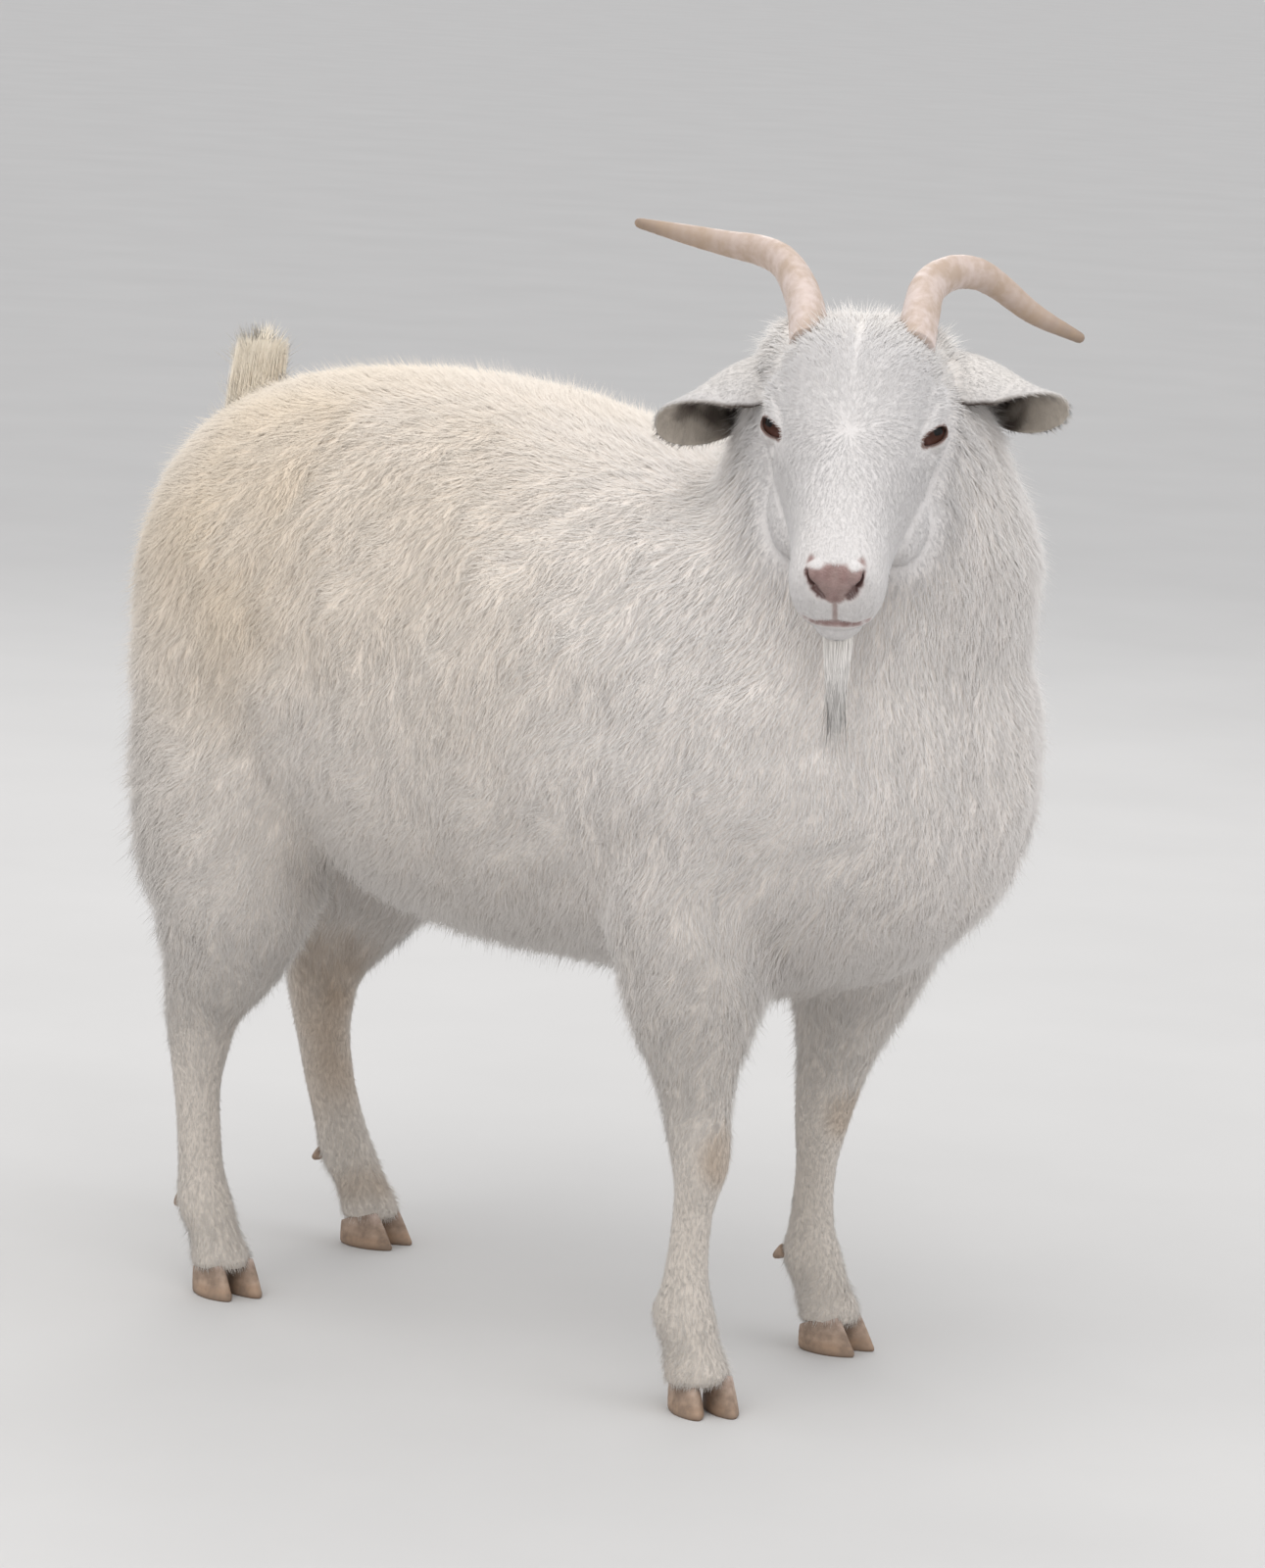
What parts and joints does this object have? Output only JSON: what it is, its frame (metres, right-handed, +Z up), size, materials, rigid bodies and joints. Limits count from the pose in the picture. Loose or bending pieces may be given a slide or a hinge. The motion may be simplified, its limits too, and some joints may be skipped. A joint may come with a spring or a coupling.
{
  "type": "cashmere goat",
  "caption": "Life-size standing cashmere doe with a deep white coat, sweeping horns and her head turned to her right, as a still museum model.",
  "frame": {"origin": "on the floor under the middle of the whole model's box", "axes": "+X the way the trunk faces, +Y to the goat's left, +Z up"},
  "size_m": [0.7782, 0.3914, 0.8351],
  "materials": {
    "coat": "deep soft cashmere coat, cream white, warmer on the rump and back",
    "face": "short white hair",
    "beard": "long fine white hair",
    "ear": "thin skin with short white hair, beige inside",
    "tail": "long creamy hair",
    "horn": "keratin, beige with a pink cast, finely ringed",
    "hoof": "keratin, worn, beige with darker streaks",
    "eye": "wet, dark with a brown iris"
  },
  "bodies": {
    "root": {"head": "face", "neck": "coat", "forequarters": "coat", "barrel": "coat", "hindquarters": "coat", "tail": "tail", "eye_l": "eye", "eye_r": "eye", "ear_l": "ear", "ear_r": "ear", "horn_l": "horn", "horn_r": "horn", "beard": "beard", "leg_fore_l": "coat", "leg_fore_r": "coat", "leg_hind_l": "coat", "leg_hind_r": "coat", "claw_fore_l_left": "hoof", "claw_fore_l_right": "hoof", "claw_fore_r_left": "hoof", "claw_fore_r_right": "hoof", "claw_hind_l_left": "hoof", "claw_hind_l_right": "hoof", "claw_hind_r_left": "hoof", "claw_hind_r_right": "hoof", "dewclaw_fore_l_left": "hoof", "dewclaw_fore_l_right": "hoof", "dewclaw_fore_r_left": "hoof", "dewclaw_fore_r_right": "hoof", "dewclaw_hind_l_left": "hoof", "dewclaw_hind_l_right": "hoof", "dewclaw_hind_r_left": "hoof", "dewclaw_hind_r_right": "hoof"}
  },
  "joints": []
}
